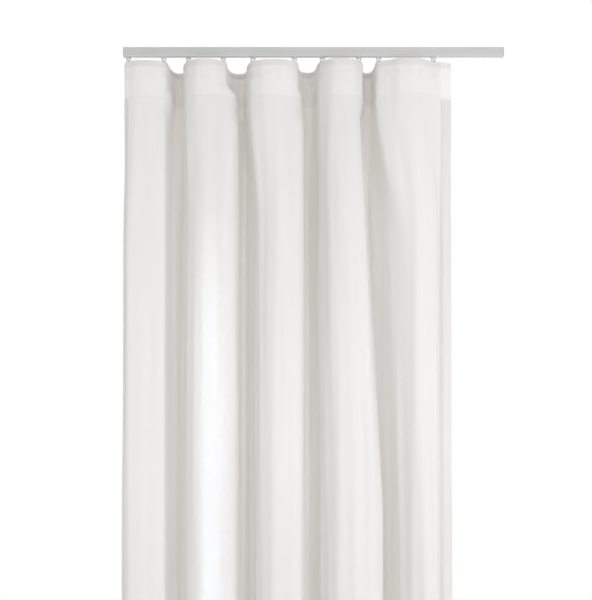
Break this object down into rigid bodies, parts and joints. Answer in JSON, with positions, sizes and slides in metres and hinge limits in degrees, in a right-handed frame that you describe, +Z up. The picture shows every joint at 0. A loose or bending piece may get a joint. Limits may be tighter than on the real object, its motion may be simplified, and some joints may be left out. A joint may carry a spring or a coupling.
{
  "type": "fabric room curtain panel",
  "caption": "Off-white linen-look curtain panel in soft wave folds, hung by wire hooks from plastic gliders in a slim aluminium ceiling rail.",
  "frame": {"origin": "middle of the rail's top face, which lies against the ceiling", "axes": "+X along the rail to the right as seen from the room, +Y away from the room towards the window, +Z up"},
  "size_m": [0.8604, 0.1481, 2.533],
  "materials": {
    "rail_aluminium": "satin anodised, faint lines along its length",
    "cap_plastic": "fine matte",
    "stop_zinc": "cast, satin",
    "screw_steel": "zinc plated",
    "glider_nylon": "translucent natural nylon",
    "hook_steel": "bright drawn wire",
    "linen": "semi-sheer slubbed plain weave, off-white",
    "tape_weave": "dense woven heading tape"
  },
  "bodies": {
    "track": {"ceiling_rail": "rail_aluminium", "end_cap_left": "cap_plastic", "end_cap_right": "cap_plastic", "park_stop": "stop_zinc", "park_stop_screw": "screw_steel", "end_stop": "stop_zinc", "end_stop_screw": "screw_steel", "glider_01": "glider_nylon"},
    "glider_02": {"glider_02": "glider_nylon"},
    "glider_03": {"glider_03": "glider_nylon"},
    "glider_04": {"glider_04": "glider_nylon"},
    "glider_05": {"glider_05": "glider_nylon"},
    "glider_06": {"glider_06": "glider_nylon"},
    "glider_07": {"glider_07": "glider_nylon"},
    "glider_08": {"glider_08": "glider_nylon"},
    "glider_09": {"glider_09": "glider_nylon"},
    "glider_10": {"glider_10": "glider_nylon"},
    "panel": {"curtain_cloth": "linen", "heading_tape": "tape_weave", "side_hem_left": "linen", "side_hem_right": "linen", "bottom_hem": "linen"},
    "hook_01": {"hook_01": "hook_steel"},
    "hook_02": {"hook_02": "hook_steel"},
    "hook_03": {"hook_03": "hook_steel"},
    "hook_04": {"hook_04": "hook_steel"},
    "hook_05": {"hook_05": "hook_steel"},
    "hook_06": {"hook_06": "hook_steel"},
    "hook_07": {"hook_07": "hook_steel"},
    "hook_08": {"hook_08": "hook_steel"},
    "hook_09": {"hook_09": "hook_steel"},
    "hook_10": {"hook_10": "hook_steel"}
  },
  "joints": [
    {"name": "draw", "type": "slide", "parent": "track", "child": "glider_10", "axis": [1, 0, 0], "range_m": [-0.4837, 0], "deforming": ["curtain_cloth", "heading_tape", "side_hem_left", "side_hem_right", "bottom_hem"]},
    {"name": "glider_02_slide", "type": "slide", "parent": "track", "child": "glider_02", "axis": [1, 0, 0], "range_m": [-0.0562, 0]},
    {"name": "glider_03_slide", "type": "slide", "parent": "track", "child": "glider_03", "axis": [1, 0, 0], "range_m": [-0.0954, 0]},
    {"name": "glider_04_slide", "type": "slide", "parent": "track", "child": "glider_04", "axis": [1, 0, 0], "range_m": [-0.1507, 0]},
    {"name": "glider_05_slide", "type": "slide", "parent": "track", "child": "glider_05", "axis": [1, 0, 0], "range_m": [-0.1976, 0]},
    {"name": "glider_06_slide", "type": "slide", "parent": "track", "child": "glider_06", "axis": [1, 0, 0], "range_m": [-0.2634, 0]},
    {"name": "glider_07_slide", "type": "slide", "parent": "track", "child": "glider_07", "axis": [1, 0, 0], "range_m": [-0.3075, 0]},
    {"name": "glider_08_slide", "type": "slide", "parent": "track", "child": "glider_08", "axis": [1, 0, 0], "range_m": [-0.3656, 0]},
    {"name": "glider_09_slide", "type": "slide", "parent": "track", "child": "glider_09", "axis": [1, 0, 0], "range_m": [-0.3971, 0]},
    {"name": "panel_swing", "type": "hinge", "parent": "track", "child": "panel", "pos_m": [0, 0, -0.0282], "axis": [1, 0, 0], "range_deg": [-10, 10]},
    {"name": "hook_01_swing", "type": "hinge", "parent": "track", "child": "hook_01", "pos_m": [-0.419, 0, -0.0282], "axis": [1, 0, 0], "range_deg": [-10.1, 10.1]},
    {"name": "hook_02_swing", "type": "hinge", "parent": "glider_02", "child": "hook_02", "pos_m": [-0.339, 0, -0.0282], "axis": [1, 0, 0], "range_deg": [-10.1, 10.1]},
    {"name": "hook_03_swing", "type": "hinge", "parent": "glider_03", "child": "hook_03", "pos_m": [-0.283, 0, -0.0282], "axis": [1, 0, 0], "range_deg": [-10.1, 10.1]},
    {"name": "hook_04_swing", "type": "hinge", "parent": "glider_04", "child": "hook_04", "pos_m": [-0.204, 0, -0.0282], "axis": [1, 0, 0], "range_deg": [-10.1, 10.1]},
    {"name": "hook_05_swing", "type": "hinge", "parent": "glider_05", "child": "hook_05", "pos_m": [-0.137, 0, -0.0282], "axis": [1, 0, 0], "range_deg": [-10.1, 10.1]},
    {"name": "hook_06_swing", "type": "hinge", "parent": "glider_06", "child": "hook_06", "pos_m": [-0.043, 0, -0.0282], "axis": [1, 0, 0], "range_deg": [-10.1, 10.1]},
    {"name": "hook_07_swing", "type": "hinge", "parent": "glider_07", "child": "hook_07", "pos_m": [0.02, 0, -0.0282], "axis": [1, 0, 0], "range_deg": [-10.1, 10.1]},
    {"name": "hook_08_swing", "type": "hinge", "parent": "glider_08", "child": "hook_08", "pos_m": [0.103, 0, -0.0282], "axis": [1, 0, 0], "range_deg": [-10.1, 10.1]},
    {"name": "hook_09_swing", "type": "hinge", "parent": "glider_09", "child": "hook_09", "pos_m": [0.148, 0, -0.0282], "axis": [1, 0, 0], "range_deg": [-10.1, 10.1]},
    {"name": "hook_10_swing", "type": "hinge", "parent": "glider_10", "child": "hook_10", "pos_m": [0.272, 0, -0.0282], "axis": [1, 0, 0], "range_deg": [-10.1, 10.1]}
  ],
  "couplings": [
    {"joint": "glider_02_slide", "follows": "draw", "ratio": 0.11577},
    {"joint": "glider_03_slide", "follows": "draw", "ratio": 0.19682},
    {"joint": "glider_04_slide", "follows": "draw", "ratio": 0.31114},
    {"joint": "glider_05_slide", "follows": "draw", "ratio": 0.4081},
    {"joint": "glider_06_slide", "follows": "draw", "ratio": 0.54414},
    {"joint": "glider_07_slide", "follows": "draw", "ratio": 0.63531},
    {"joint": "glider_08_slide", "follows": "draw", "ratio": 0.75543},
    {"joint": "glider_09_slide", "follows": "draw", "ratio": 0.82055},
    {"joint": "hook_01_swing", "follows": "panel_swing", "ratio": 1},
    {"joint": "hook_02_swing", "follows": "panel_swing", "ratio": 1},
    {"joint": "hook_03_swing", "follows": "panel_swing", "ratio": 1},
    {"joint": "hook_04_swing", "follows": "panel_swing", "ratio": 1},
    {"joint": "hook_05_swing", "follows": "panel_swing", "ratio": 1},
    {"joint": "hook_06_swing", "follows": "panel_swing", "ratio": 1},
    {"joint": "hook_07_swing", "follows": "panel_swing", "ratio": 1},
    {"joint": "hook_08_swing", "follows": "panel_swing", "ratio": 1},
    {"joint": "hook_09_swing", "follows": "panel_swing", "ratio": 1},
    {"joint": "hook_10_swing", "follows": "panel_swing", "ratio": 1}
  ]
}
